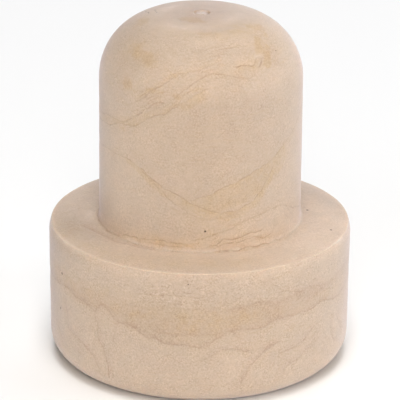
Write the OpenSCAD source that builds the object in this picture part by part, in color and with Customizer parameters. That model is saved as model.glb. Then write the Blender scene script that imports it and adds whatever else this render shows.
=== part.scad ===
// One-piece bottle stopper: a cylindrical plug with a rounded nose, moulded together
// with a wider round head. It stands on the flat face of its head. Millimetres, +Z
// along its axis towards the nose, origin at the centre of the head's flat face.
//
// The whole stopper is one revolved section. The section is drawn below as straight
// edges, and circles that meet them at computed tangent points.

/* [Plug] */
// Diameter of the plug, 1 mm over the 18.5 mm neck bore that it squeezes into
plug_d = 19.5; // [14:0.1:24]
// Height of the nose's crown above the head's flat face
overall_h = 34.5; // [26:0.1:50]
// Radius of the round shoulder of the nose
nose_round = 6.1; // [2:0.1:8]
// Radius of the low dome that closes the nose
nose_dome = 37; // [25:1:80]

/* [Head] */
// Diameter that the head's side would have at its flat face, before rounding
head_foot_d = 29.0; // [26:0.1:36]
// Draft of the head's side, which widens towards the parting edge
head_draft = 0.55; // [0:0.05:3]
// Radius of the round edge at the flat face
foot_round = 2.6; // [0.5:0.1:4]
// Radius of the side's inward curve below the parting edge
rim_round = 2.5; // [1:0.1:4]
// Turn of that curve at the parting edge, from level
rim_turn = 25.5; // [5:0.5:45]

/* [Shoulder] */
// Height of the parting edge above the flat face
edge_h = 13.69; // [8:0.01:20]
// Rise from the parting edge to the flat seat round the plug
seat_rise = 0.26; // [0.05:0.01:1]
// Width of the flat seat round the plug
seat_w = 2.1; // [1:0.1:3]
// Radius of the fine bead that the mould halves leave at the parting edge
bead_r = 0.09; // [0.05:0.01:0.2]

/* [Gate] */
// Diameter of the sunk gate mark in the middle of the nose
gate_d = 1.6; // [1:0.1:3]
// Depth of the gate mark below the nose's crown
gate_depth = 0.16; // [0.05:0.01:0.5]
// Width of the gate mark's sloping wall
gate_slope = 0.2; // [0.05:0.05:0.4]
// Diameter of the low stub that the gate leaves inside its mark
stub_d = 1.0; // [0.4:0.1:2]
// Height of that stub
stub_h = 0.1; // [0.02:0.01:0.3]

/* [Look] */
// Colour of the moulded foam
foam_colour = "#D6BC9F";

/* [Hidden] */
$fn = 80;

plug_r = plug_d / 2;
// overlap by which one area of the section runs into the next
lap = 1;

// nose: the round's centre lies on the circle inside the dome that keeps both tangent
dome_z = overall_h - nose_dome;
nose_x = plug_r - nose_round;
nose_z = dome_z + sqrt(pow(nose_dome - nose_round, 2) - pow(nose_x, 2));
// direction from the dome's centre through the round's centre to where the two meet
meet = atan2(nose_z - dome_z, nose_x);

// foot: the round is tangent to the flat face and to the drafted side
foot_x = head_foot_d / 2 + foot_round * (tan(head_draft) - 1 / cos(head_draft));
foot_end = [foot_x + foot_round * cos(head_draft), foot_round * (1 - sin(head_draft))];

// rim: the curve leaves the drafted side and turns in to the parting edge
rim_z = edge_h - rim_round * sin(rim_turn);
rim_x = head_foot_d / 2 + rim_z * tan(head_draft) - rim_round / cos(head_draft);
rim_start = [rim_x + rim_round * cos(head_draft), rim_z - rim_round * sin(head_draft)];
edge_r = rim_x + rim_round * cos(rim_turn);

// shoulder: an arc tangent to the flat seat falls to the parting edge
seat_h = edge_h + seat_rise;
seat_r = plug_r + seat_w;
fall_w = edge_r - seat_r;
fall_round = (pow(fall_w, 2) + pow(seat_rise, 2)) / (2 * seat_rise);

// stub: a low cap of a ball
stub_ball = (pow(stub_d / 2, 2) + pow(stub_h, 2)) / (2 * stub_h);
gate_floor = overall_h - gate_depth;

// a circle of the section, given by its centre in the plane of radius and height
module round_at(x, z, r) {
    translate([x, z])
        circle(r = r);
}

// half of the head: straight edges first, then the three curves that bulge from them
module head_section() {
    polygon([
        [0, 0],
        [foot_x, 0],
        foot_end,
        rim_start,
        [edge_r, edge_h],
        [seat_r, seat_h],
        [0, seat_h]
    ]);
    round_at(foot_x, foot_round, foot_round);
    intersection() {
        round_at(rim_x, rim_z, rim_round);
        translate([0, rim_z - rim_round])
            square([2 * edge_r, edge_h - rim_z + rim_round]);
    }
    intersection() {
        round_at(seat_r, seat_h - fall_round, fall_round);
        translate([seat_r, edge_h - lap])
            square([fall_w, seat_rise + lap]);
    }
    round_at(edge_r, edge_h, bead_r);
}

// half of the plug: a cylinder, the nose's round, and the dome over both
module plug_section() {
    polygon([
        [0, edge_h - lap],
        [plug_r, edge_h - lap],
        [plug_r, nose_z],
        [nose_x, nose_z],
        [0, nose_z]
    ]);
    intersection() {
        round_at(nose_x, nose_z, nose_round);
        translate([nose_x, nose_z - lap])
            square([nose_round, nose_round + lap]);
    }
    intersection() {
        round_at(0, dome_z, nose_dome);
        polygon([
            [0, nose_z - lap],
            [nose_x, nose_z - lap],
            [nose_x, nose_z],
            [nose_x, nose_z] + (nose_round + lap) * [cos(meet), sin(meet)],
            [0, overall_h + lap]
        ]);
    }
}

// half of the sunk mark in the nose, without its stub
module gate_section() {
    polygon([
        [0, gate_floor],
        [gate_d / 2 - gate_slope, gate_floor],
        [gate_d / 2, overall_h],
        [gate_d / 2, overall_h + lap],
        [0, overall_h + lap]
    ]);
}

// half of the stub on the mark's floor
module stub_section() {
    intersection() {
        round_at(0, gate_floor + stub_h - stub_ball, stub_ball);
        translate([0, gate_floor - gate_depth])
            square([stub_d / 2, gate_depth + stub_h]);
    }
}

module stopper_section() {
    head_section();
    difference() {
        plug_section();
        gate_section();
    }
    stub_section();
}

module stopper() {
    color(foam_colour)
        rotate_extrude()
            stopper_section();
}

stopper();
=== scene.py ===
import math
from collections import namedtuple
from functools import partial

import bpy
import numpy as np
from bpy.props import FloatProperty, FloatVectorProperty, PointerProperty
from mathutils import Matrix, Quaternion, Vector, noise


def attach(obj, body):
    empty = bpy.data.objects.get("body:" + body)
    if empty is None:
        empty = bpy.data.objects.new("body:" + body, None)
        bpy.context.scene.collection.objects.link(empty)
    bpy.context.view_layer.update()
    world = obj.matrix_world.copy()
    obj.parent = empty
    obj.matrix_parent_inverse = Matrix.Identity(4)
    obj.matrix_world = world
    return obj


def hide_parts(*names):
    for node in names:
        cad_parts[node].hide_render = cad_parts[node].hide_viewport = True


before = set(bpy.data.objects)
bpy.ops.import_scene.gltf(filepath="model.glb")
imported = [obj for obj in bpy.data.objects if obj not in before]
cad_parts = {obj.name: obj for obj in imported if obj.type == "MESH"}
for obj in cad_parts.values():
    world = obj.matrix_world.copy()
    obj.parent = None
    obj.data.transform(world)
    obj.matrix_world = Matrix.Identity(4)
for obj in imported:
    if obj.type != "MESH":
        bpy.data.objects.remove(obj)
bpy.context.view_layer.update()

bl_info = {
    "name": "Moulded Foam Bottle Stopper",
    "version": (1, 0, 0),
    "blender": (4, 5, 0),
    "location": "View3D > Sidebar > Stopper",
    "description": "Builds a one-piece foam bottle stopper and the stage it stands on",
    "category": "Object",
}

MM = 0.001
QUARTER = math.pi / 2


def linear(hex_colour):
    """An sRGB hex colour as linear red, green and blue."""
    channels = [int(hex_colour[i : i + 2], 16) / 255 for i in (1, 3, 5)]
    return tuple(c / 12.92 if c <= 0.04045 else ((c + 0.055) / 1.055) ** 2.4 for c in channels)


def add_node(tree, kind, inputs=(), output=0, **settings):
    """Adds a node with its settings and its inputs, each a value or a link, and returns an output."""
    node = tree.nodes.new(kind)
    for name, value in settings.items():
        setattr(node, name, value)
    for name, value in dict(inputs).items():
        if isinstance(value, bpy.types.NodeSocket):
            tree.links.new(value, node.inputs[name])
        else:
            node.inputs[name].default_value = value
    return node.outputs[output] if node.outputs else None


# ---------------------------------------------------------------------------
# Sizes and colours
# ---------------------------------------------------------------------------


def length(name, description, millimetres):
    """A size of the stopper."""
    return FloatProperty(
        name=name,
        description=description,
        default=millimetres * MM,
        precision=5,
        unit="LENGTH",
    )


def angle(name, description, degrees):
    """An angle of the stopper's section."""
    return FloatProperty(
        name=name,
        description=description,
        default=math.radians(degrees),
        subtype="ANGLE",
    )


def colour(name, description, hex_colour):
    """A colour of the foam."""
    return FloatVectorProperty(
        name=name,
        description=description,
        default=linear(hex_colour),
        subtype="COLOR",
        min=0,
        max=1,
    )


class StopperSizes(bpy.types.PropertyGroup):
    """Sizes of the stopper's section"""

    overall_height: length("Overall height", "Crown of the nose above the flat face", 34.5)
    plug_radius: length("Plug radius", "Half of the plug's diameter", 9.75)
    nose_round: length("Nose round", "Radius of the nose's round shoulder", 6.1)
    nose_dome: length("Nose dome", "Radius of the low dome that closes the nose", 37.0)
    gate_radius: length("Gate radius", "Radius of the sunk gate mark in the nose", 0.8)
    gate_depth: length("Gate depth", "Depth of the gate mark", 0.16)
    gate_slope: length("Gate slope", "Width of the gate mark's sloping wall", 0.2)
    stub_radius: length("Stub radius", "Radius of the stub inside the gate mark", 0.5)
    stub_height: length("Stub height", "Height of that stub", 0.1)
    foot_radius: length("Foot radius", "Radius of the head's side at its flat face", 14.5)
    foot_round: length("Foot round", "Radius of the edge at the flat face", 2.6)
    side_draft: angle("Side draft", "Angle by which the head widens upwards", 0.55)
    rim_round: length("Rim round", "Radius of the side's curve in to the parting edge", 2.5)
    rim_turn: angle("Rim turn", "Turn of that curve at the parting edge", 25.5)
    edge_height: length("Edge height", "Height of the parting edge", 13.69)
    seat_rise: length("Seat rise", "Rise from the parting edge to the flat seat", 0.26)
    seat_width: length("Seat width", "Width of the flat seat round the plug", 2.1)
    crease_round: length("Crease round", "Radius in the corner between plug and seat", 0.35)
    flash_radius: length("Flash radius", "Radius of the soft flash along the parting edge", 0.13)
    flash_inset: length("Flash inset", "How far the flash's centre lies inside the edge", 0.125)


class StopperColours(bpy.types.PropertyGroup):
    """Colours of the foam"""

    foam: colour("Foam", "Plain foam", "#C4AF9B")
    tan: colour("Tan", "Foam that reached its place last and browned", "#C1A88A")
    vein: colour("Vein", "Bottom of a flow line", "#8B6B51")
    nub: colour("Nub", "Torn foam in the gate mark", "#D2C2B8")
    # the flash colour is also what the painted highlight and painted light of the pale field are mixed
    # towards
    flash: colour("Flash", "Thin skin along the parting edge", "#DCC9B8")
    speck: colour("Speck", "Charred grain", "#5A4A3E")


# ---------------------------------------------------------------------------
# The section: half of the outline, from the nose's tip to the flat face
# ---------------------------------------------------------------------------


def arc(centre, radius, start, end, step):
    """Points on a circle from one angle to another, about step apart."""
    count = max(2, math.ceil(abs(end - start) * radius / step) + 1)
    turn = np.linspace(start, end, count)
    return np.stack([centre[0] + radius * np.cos(turn), centre[1] + radius * np.sin(turn)], 1)


def straight(start, end, step):
    """Points on a straight line from one end to the other, about step apart."""
    start, end = np.array(start), np.array(end)
    count = max(2, math.ceil(np.hypot(*(end - start)) / step) + 1)
    return start + (end - start) * np.linspace(0, 1, count)[:, None]


def section_outline(sizes):
    """The outline in mm as (radius, height), from the tip down to the flat face, and the parting edge."""
    plug = sizes.plug_radius / MM
    top = sizes.overall_height / MM
    nose = sizes.nose_round / MM
    dome = sizes.nose_dome / MM
    gate = sizes.gate_radius / MM
    gate_floor = top - sizes.gate_depth / MM
    gate_foot = gate - sizes.gate_slope / MM
    stub = sizes.stub_radius / MM
    stub_height = sizes.stub_height / MM
    foot = sizes.foot_round / MM
    rim = sizes.rim_round / MM
    edge_height = sizes.edge_height / MM
    rise = sizes.seat_rise / MM
    crease = sizes.crease_round / MM
    flash = sizes.flash_radius / MM
    inset = sizes.flash_inset / MM
    draft = sizes.side_draft
    turn = sizes.rim_turn

    # the stub is a cap of a ball, and the dome and the nose's round meet in one tangent
    stub_ball = (stub**2 + stub_height**2) / (2 * stub_height)
    stub_edge = math.acos(stub / stub_ball)
    dome_height = top - dome
    dome_start = math.acos(gate / dome)
    nose_radius = plug - nose
    nose_height = dome_height + math.sqrt((dome - nose) ** 2 - nose_radius**2)
    meet = math.atan2(nose_height - dome_height, nose_radius)

    # the side is tangent to its curve at the top and to the round edge at the flat face
    rim_height = edge_height - rim * math.sin(turn)
    rim_radius = sizes.foot_radius / MM + rim_height * math.tan(draft) - rim / math.cos(draft)
    edge_radius = rim_radius + rim * math.cos(turn)
    foot_radius = sizes.foot_radius / MM + foot * (math.tan(draft) - 1 / math.cos(draft))

    # the seat ends in an arc that falls to the edge
    seat_height = edge_height + rise
    seat_radius = plug + sizes.seat_width / MM
    fall = edge_radius - seat_radius
    fall_round = (fall**2 + rise**2) / (2 * rise)
    fall_turn = math.asin(fall / fall_round)

    # the flash is a round crest whose centre lies inside the edge, half-way between the two faces
    half = (QUARTER - fall_turn - turn) / 2
    crest = (
        edge_radius - inset * math.cos(turn + half),
        edge_height - inset * math.sin(turn + half),
    )
    past = math.acos(inset * math.cos(half) / flash)
    reach = inset * math.sin(half) + flash * math.sin(past)

    side_top = arc((rim_radius, rim_height), rim, turn - reach / rim, -draft, 0.13)
    side_foot = arc((foot_radius, foot), foot, -draft, -QUARTER, 0.2)
    crease_centre = (plug + crease, seat_height + crease)
    outline = np.concatenate(
        [
            arc((0, gate_floor + stub_height - stub_ball), stub_ball, QUARTER, stub_edge, 0.08),
            straight((stub, gate_floor), (gate_foot, gate_floor), 0.05),
            straight((gate_foot, gate_floor), (gate, dome_height + dome * math.sin(dome_start)), 0.08),
            arc((0, dome_height), dome, dome_start, meet, 0.14),
            arc((nose_radius, nose_height), nose, meet, 0, 0.2),
            straight((plug, nose_height), (plug, seat_height + 2.2), 0.2),
            straight((plug, seat_height + 2.2), (plug, crease_centre[1]), 0.11),
            arc(crease_centre, crease, math.pi, math.pi + QUARTER, 0.07),
            straight((crease_centre[0], seat_height), (plug + 0.7, seat_height), 0.08),
            straight((plug + 0.7, seat_height), (seat_radius, seat_height), 0.16),
            arc(
                (seat_radius, seat_height - fall_round),
                fall_round,
                QUARTER,
                QUARTER - fall_turn + reach / fall_round,
                0.16,
            ),
            arc(crest, flash, QUARTER - fall_turn + past, turn - past, 0.045),
            side_top,
            straight(side_top[-1], side_foot[0], 0.2),
            side_foot,
            straight((foot_radius, 0), (0, 0), 1.0),
        ]
    )
    apart = np.hypot(*np.diff(outline, axis=0).T) > 1e-3
    return outline[np.concatenate([[True], apart])], (edge_radius, edge_height)


class Section:
    """The outline with the way along it, to find places on the turned surface."""

    def __init__(self, outline, edge):
        self.radius, self.height = outline.T
        self.edge = (edge[0], 0.0, edge[1])
        self.run = np.concatenate([[0], np.cumsum(np.hypot(*np.diff(outline, axis=0).T))])
        side_start = int(np.argmax(self.height <= edge[1]))
        self.side_run = self.run[side_start:]
        self.side_height = self.height[side_start:]

    def spot(self, part, degrees, distance):
        """A point, from mm below the tip on the plug and seat, or above the flat face on the head's side."""
        if part == "head":
            distance = np.interp(-distance, -self.side_height, self.side_run)
        radius = np.interp(distance, self.run, self.radius)
        turn = math.radians(degrees)
        height = np.interp(distance, self.run, self.height)
        return np.array([radius * math.sin(turn), -radius * math.cos(turn), height])


# ---------------------------------------------------------------------------
# Flow lines, clouds and specks in the skin
# ---------------------------------------------------------------------------

# A flow line is where two tongues of foam met. Its points are (degrees, mm): degrees round the axis
# from the front towards +X, and mm as Section.spot takes them. dark is how brown its bottom is, shade
# how brown the soft shade beside it is, groove its depth in mm, tan how golden the strip on its left is,
# and reach that strip's width in mm.
FlowLine = namedtuple(
    "FlowLine",
    "part points dark shade groove tan reach",
    defaults=(0.0, 0.0, 0.0, 0.0, 1.0),
)

FLOW_LINES = (
    # the pair that crosses the plug's left side and parts again towards the middle
    FlowLine("plug", (
        (-145, 19.6), (-125, 18.9), (-100, 17.8), (-84, 17.1), (-72, 16.9), (-60, 16.6), (-54, 16.2),
        (-46, 15.9), (-40, 15.8), (-33, 15.1), (-28, 14.5), (-25, 14.2), (-20, 14.0), (-15, 13.3),
        (-9, 12.8),
    ), dark=0.34, groove=0.02, tan=0.35, reach=0.9),
    FlowLine("plug", (
        (-98, 14.9), (-86, 15.4), (-75, 16.1), (-68, 15.9), (-60, 15.8), (-50, 15.8), (-46, 15.5),
        (-40, 14.9), (-33, 14.0), (-28, 13.3), (-23, 12.9), (-18, 12.9),
    ), dark=0.3, groove=0.02),
    # the tongue above the pair, and its wrinkles
    FlowLine("plug", (
        (-40, 13.4), (-34, 12.8), (-28, 11.9), (-23, 11.3), (-18, 10.6), (-13, 10.1),
    ), dark=0.26, groove=0.02, tan=0.35, reach=0.5),
    FlowLine("plug", (
        (-18, 10.6), (-13, 10.1), (-8, 9.9), (-2, 9.6), (4, 9.3), (8, 9.0), (13, 8.6), (18, 8.3),
    ), dark=0.14, groove=0.01, tan=0.25, reach=0.5),
    FlowLine("plug", ((3, 11.4), (-2, 11.8), (-8, 12.5), (-14, 13.0)), dark=0.12, groove=0.01, tan=0.6),
    FlowLine("plug", (
        (-16, 12.5), (-12, 11.9), (-8, 11.3), (-6, 11.0), (-2, 10.6), (3, 10.1), (7, 9.9), (11, 10.0),
        (18, 10.3), (25, 10.5), (30, 10.9),
    ), dark=0.32, groove=0.02),
    FlowLine("plug", ((-13, 12.4), (-8, 11.8), (-2, 11.1), (3, 10.7)), dark=0.22, groove=0.015),
    FlowLine("plug", ((-9, 12.4), (-3, 11.9), (2, 11.4), (7, 11.1)), dark=0.2, groove=0.015),
    FlowLine("plug", ((4, 10.6), (9, 10.35), (13, 10.4), (18, 10.6), (24, 10.9)), dark=0.18, groove=0.015),
    FlowLine("plug", ((-5, 9.2), (2, 8.9), (8, 8.4), (14, 8.1), (20, 8.0)), dark=0.16, groove=0.01),
    FlowLine("plug", (
        (20, 9.5), (24, 9.4), (27, 9.4), (31, 9.5), (34, 9.6), (36, 9.4), (38, 9.0), (41, 8.9), (44, 9.1),
    ), dark=0.6, groove=0.02),
    FlowLine("plug", ((35, 10.1), (38, 9.8), (40, 9.5), (42, 9.2), (45, 9.1)), dark=0.55, groove=0.015),
    FlowLine("plug", ((2, 8.0), (8, 7.7), (14, 7.5), (24, 7.4), (30, 7.3)), dark=0.18, groove=0.01),
    # the long loop that hangs across the plug, and the lens that it closes
    FlowLine("plug", (
        (46, 19.6), (44, 20.1), (41, 20.8), (38, 21.5), (36, 22.0), (33, 22.5), (31, 22.8), (26, 23.2),
        (20, 23.5), (13, 23.6), (6, 23.4), (0, 23.0), (-7, 22.4), (-14, 21.8), (-20, 21.4), (-27, 20.7),
        (-33, 20.0), (-40, 19.5), (-48, 19.2),
    ), dark=0.32, groove=0.015, tan=0.5, reach=0.9),
    FlowLine("plug", (
        (-27, 20.7), (-33, 20.0), (-40, 19.5), (-48, 19.2), (-60, 19.2), (-70, 19.3), (-90, 19.9),
        (-115, 21.2), (-140, 22.4), (-165, 22.8),
    ), dark=0.3, groove=0.015),
    FlowLine("plug", (
        (-38, 19.7), (-31, 20.4), (-26, 21.1), (-21, 21.8), (-16, 22.5), (-10, 23.2), (-4, 23.9), (3, 24.2),
        (13, 24.1), (21, 23.9), (27, 23.2),
    ), dark=0.2, groove=0.015),
    FlowLine("plug", (
        (56, 17.9), (50, 18.5), (44, 19.1), (36, 19.6), (29, 20.1), (20, 20.7), (12, 21.2), (6, 21.7),
        (-1, 22.1), (-7, 22.5),
    ), dark=0.26, groove=0.015, tan=0.55, reach=2.6),
    FlowLine("plug", (
        (140, 13.2), (115, 13.4), (95, 14.3), (80, 15.4), (70, 16.5), (60, 17.5), (50, 18.5), (44, 19.1),
        (38, 19.5),
    ), dark=0.24, groove=0.015),
    # the line that runs down to the plug's foot, and the ragged foot itself
    FlowLine("plug", (
        (-6, 26.5), (-1, 26.2), (7, 25.8), (17, 25.3), (26, 24.7), (37, 24.3), (47, 24.1), (54, 24.3),
        (62, 24.9), (69, 25.3), (84, 25.9), (104, 25.6), (126, 24.6),
    ), dark=0.28, groove=0.02),
    FlowLine("plug", (
        (2, 27.1), (9, 26.8), (13, 26.3), (18, 26.4), (23, 26.3), (29, 26.0), (34, 26.1), (40, 25.8),
    ), dark=0.48, groove=0.02),
    FlowLine("plug", (
        (8, 27.1), (16, 26.7), (21, 26.8), (26, 26.6), (33, 26.6), (40, 26.8), (46, 26.5),
    ), dark=0.45, groove=0.02),
    FlowLine("plug", (
        (6, 27.44), (11, 27.5), (15, 27.42), (18, 27.5), (21, 27.58), (24, 27.42), (28, 27.38), (33, 27.44),
        (37, 27.4), (40, 27.5), (44, 27.55),
    ), dark=0.75, groove=0.015),
    FlowLine("plug", ((40, 27.55), (49, 27.5), (59, 27.55), (68, 27.5)), dark=0.3, groove=0.03),
    FlowLine("plug", (
        (-7, 26.8), (-12, 26.8), (-18, 26.7), (-25, 26.7), (-30, 26.8), (-35, 26.9), (-42, 27.0),
        (-48, 27.2), (-54, 27.4),
    ), dark=0.45, groove=0.015, tan=0.25, reach=0.5),
    FlowLine("plug", (
        (-7, 27.15), (-12, 27.1), (-18, 27.1), (-25, 27.1), (-33, 27.1),
    ), dark=0.3, groove=0.015, tan=0.3, reach=0.4),
    # the open corner at the left, its dark line widened by painted shade in the corner, and the streak next
    # to it on the seat
    FlowLine("plug", (
        (-110, 27.5), (-98, 27.5), (-86, 27.5), (-77, 27.5), (-69, 27.5), (-60, 27.48), (-54, 27.44),
        (-48, 27.4),
    ), dark=0.45, shade=0.7, groove=0.02),
    FlowLine("plug", (
        (-77, 29.5), (-69, 28.9), (-62, 28.5), (-56, 28.3), (-48, 28.3), (-41, 27.9), (-34, 27.9),
        (-28, 27.7), (-22, 27.7),
    ), dark=0.2, shade=0.8, groove=0.02, reach=0.6),
    # the corner between plug and seat, darkened all round as painted shade
    FlowLine("plug", (
        (-60, 27.5), (-40, 27.5), (-20, 27.52), (0, 27.52), (20, 27.52), (40, 27.5), (60, 27.5),
    ), dark=0.25, shade=0.3),
    # lower edge of the head's brown band
    FlowLine("head", (
        (-180, 8.4), (-164, 8.0), (-150, 8.8), (-138, 9.4), (-126, 8.9), (-114, 9.5), (-100, 9.2),
        (-90, 8.5), (-80, 8.9), (-68, 9.0), (-57, 9.3), (-55, 8.9), (-50, 8.8), (-46, 8.6), (-42, 8.3),
        (-40, 9.1), (-38, 9.2), (-35, 8.8), (-34, 8.2), (-31, 7.9), (-28, 7.9), (-24, 7.7), (-21, 7.1),
        (-19, 6.8), (-17, 7.0), (-12, 6.5), (-5, 6.5), (1, 6.3), (3, 6.6), (8, 7.4), (12, 7.9), (20, 7.9),
        (25, 7.9), (28, 8.3), (32, 8.4), (41, 8.4), (47, 8.4), (53, 8.7), (64, 8.1), (76, 8.5), (86, 9.3),
        (94, 8.8), (106, 8.4), (118, 8.9), (130, 8.2), (142, 7.6), (152, 8.3), (166, 8.7), (180, 8.4),
    ), dark=0.27, shade=0.6, groove=0.03, tan=0.15, reach=2.4),
    FlowLine("head", (
        (-19, 7.9), (-14, 7.5), (-9, 7.5), (-5, 7.6), (0, 7.6), (6, 7.6), (9, 7.6),
    ), dark=0.09, shade=0.45, groove=0.01),
    # upper edge of the band, drawn the other way round
    FlowLine("head", (
        (180, 10.3), (160, 10.8), (140, 10.2), (120, 10.7), (100, 10.4), (80, 10.9), (66, 10.6), (56, 10.3),
        (49, 10.6), (44, 10.8), (38, 10.5), (34, 10.3), (29, 10.3), (24, 10.5), (20, 10.5), (15, 10.2),
        (8, 10.0),
    ), dark=0.1, shade=0.52, tan=0.12, reach=2.2),
    FlowLine("head", (
        (8, 10.0), (0, 10.2), (-6, 10.2), (-14, 10.2), (-24, 9.9), (-36, 10.4), (-50, 10.2), (-66, 10.5),
        (-84, 10.4), (-104, 10.8), (-124, 10.4), (-146, 10.7), (-164, 10.2), (-180, 10.3),
    ), dark=0.09, shade=0.15, tan=0.12, reach=2.2),
    # folds between the tongues below the band
    FlowLine("head", (
        (-42, 8.3), (-42, 7.5), (-41, 7.0), (-41, 6.1), (-41, 5.5), (-39, 4.9), (-38, 4.3), (-37, 3.6),
        (-36, 2.9), (-36, 2.2), (-36, 1.5),
    ), dark=0.29, shade=0.52, groove=0.039),
    FlowLine("head", (
        (-34, 8.2), (-33, 7.4), (-33, 6.7), (-34, 6.0), (-34, 5.2),
    ), dark=0.09, shade=0.38, groove=0.026),
    FlowLine("head", (
        (-62, 8.4), (-61, 7.1), (-60, 6.4), (-60, 5.7), (-59, 5.1), (-54, 4.7), (-50, 4.4), (-47, 4.0),
        (-44, 3.6), (-41, 2.6), (-38, 2.3),
    ), dark=0.25, shade=0.55, groove=0.039),
    FlowLine("head", ((-71, 4.6), (-66, 4.0), (-64, 2.9), (-58, 2.7)), dark=0.09, shade=0.38, groove=0.026),
    FlowLine("head", ((-19, 6.8), (-21, 6.0), (-22, 5.0), (-23, 4.0)), shade=0.38, groove=0.02),
    FlowLine("head", (
        (-1, 4.4), (1, 4.8), (4, 5.2), (6, 5.7), (9, 6.0), (12, 6.0), (15, 5.9), (18, 5.7), (21, 5.5),
    ), dark=0.25, shade=0.35, groove=0.026),
    FlowLine("head", ((3, 6.1), (6, 5.8), (9, 5.9)), dark=0.17, shade=0.3, groove=0.02),
    FlowLine("head", ((10, 7.8), (12, 7.8), (15, 7.1), (17, 6.8)), dark=0.14, shade=0.45, groove=0.02),
    FlowLine("head", (
        (14, 1.5), (16, 2.3), (18, 3.4), (20, 4.2), (23, 4.9), (25, 5.4), (28, 5.8), (31, 6.0), (34, 6.1),
    ), dark=0.27, shade=0.6, groove=0.039),
    FlowLine("head", (
        (30, 4.6), (32, 4.8), (35, 4.9), (37, 4.9), (41, 5.2), (44, 5.5), (46, 6.0), (48, 6.3), (50, 6.8),
    ), dark=0.2, shade=0.45, groove=0.039),
    FlowLine("head", (
        (33, 2.2), (34, 3.0), (36, 3.5), (40, 3.6), (42, 3.9), (45, 4.4), (48, 4.4), (51, 4.5),
    ), dark=0.17, shade=0.4, groove=0.039),
    FlowLine("head", (
        (61, 7.0), (61, 6.2), (60, 5.5), (61, 4.7), (63, 3.9), (66, 3.2),
    ), dark=0.14, shade=0.38, groove=0.026),
    FlowLine("head", ((64, 6.6), (67, 5.6), (70, 4.3), (70, 3.2)), dark=0.14, shade=0.3, groove=0.026),
    FlowLine("head", ((36, 6.6), (37, 6.8), (38, 7.3), (38.5, 7.6)), dark=0.34),
    FlowLine("head", ((-13.5, 5.4), (-12, 5.4), (-10, 5.4), (-8.5, 5.4)), dark=0.34),
    FlowLine("head", ((-22, 11.3), (-15, 11.5), (-7, 11.5), (1, 11.4), (6, 11.6)), dark=0.26, groove=0.013),
    FlowLine("head", (
        (30, 11.0), (33, 11.1), (38, 10.8), (42, 10.6), (44, 10.6),
    ), dark=0.34, shade=0.15, groove=0.0195),
    FlowLine("head", ((20, 12.4), (26, 12.5), (32, 12.8), (38, 13.0)), dark=0.2, groove=0.0195),
    # the sides and the back
    FlowLine("plug", (
        (110, 18.2), (124, 18.9), (140, 18.4), (156, 17.3), (172, 16.9), (188, 17.6), (204, 17.2),
    ), dark=0.3, groove=0.02, tan=0.4),
    FlowLine("plug", (
        (128, 21.6), (142, 20.7), (158, 20.4), (176, 21.0), (190, 20.6),
    ), dark=0.24, groove=0.02),
    FlowLine("plug", (
        (120, 10.4), (138, 9.6), (156, 9.9), (170, 9.3), (188, 9.8),
    ), dark=0.22, groove=0.015, tan=0.3, reach=0.8),
    FlowLine("plug", (
        (150, 12.3), (166, 12.9), (182, 12.2), (200, 12.8), (214, 13.4),
    ), dark=0.18, groove=0.015),
    FlowLine("plug", (
        (120, 27.5), (136, 27.56), (152, 27.48), (170, 27.54), (186, 27.5),
    ), dark=0.3, groove=0.03),
    FlowLine("plug", (
        (150, 25.2), (164, 24.6), (182, 24.9), (198, 25.8), (210, 26.4),
    ), dark=0.22, groove=0.02),
    FlowLine("head", (
        (90, 8.9), (92, 7.4), (90, 5.9), (94, 4.2), (93, 2.4),
    ), dark=0.17, shade=0.36, groove=0.03),
    FlowLine("head", (
        (100, 2.0), (105, 3.6), (110, 4.8), (118, 5.4), (126, 5.6),
    ), dark=0.14, shade=0.3, groove=0.02),
    FlowLine("head", (
        (142, 7.5), (140, 6.2), (143, 4.8), (141, 3.0), (144, 1.6),
    ), dark=0.17, shade=0.36, groove=0.03),
    FlowLine("head", (
        (152, 2.2), (157, 3.9), (164, 5.0), (172, 5.3), (180, 6.0),
    ), dark=0.14, shade=0.3, groove=0.02),
    FlowLine("head", (
        (-164, 7.9), (-162, 6.5), (-165, 5.0), (-161, 3.1), (-162, 1.5),
    ), dark=0.17, shade=0.36, groove=0.03),
    FlowLine("head", (
        (-150, 2.4), (-143, 3.8), (-136, 4.6), (-128, 5.8),
    ), dark=0.14, shade=0.3, groove=0.02),
    FlowLine("head", (
        (-90, 8.4), (-92, 7.0), (-90, 5.4), (-94, 3.8), (-92, 1.8),
    ), dark=0.15, shade=0.33, groove=0.03),
    FlowLine("head", (
        (-120, 5.9), (-114, 4.6), (-107, 4.0), (-101, 2.6),
    ), dark=0.14, shade=0.3, groove=0.02),
    FlowLine("head", (
        (96, 11.6), (112, 11.9), (130, 11.5), (148, 12.0),
    ), dark=0.1, shade=0.24, groove=0.01),
    FlowLine("head", (
        (-150, 11.9), (-132, 11.5), (-114, 11.8), (-98, 11.4),
    ), dark=0.1, shade=0.24, groove=0.01),
)

# Clouds are soft spots of the skin, listed for each part from the top down. Each is (degrees, mm, length,
# height, strength): its middle as in a flow line, then its half-length round the axis and its half-height
# in mm, and how strong it is.

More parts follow.
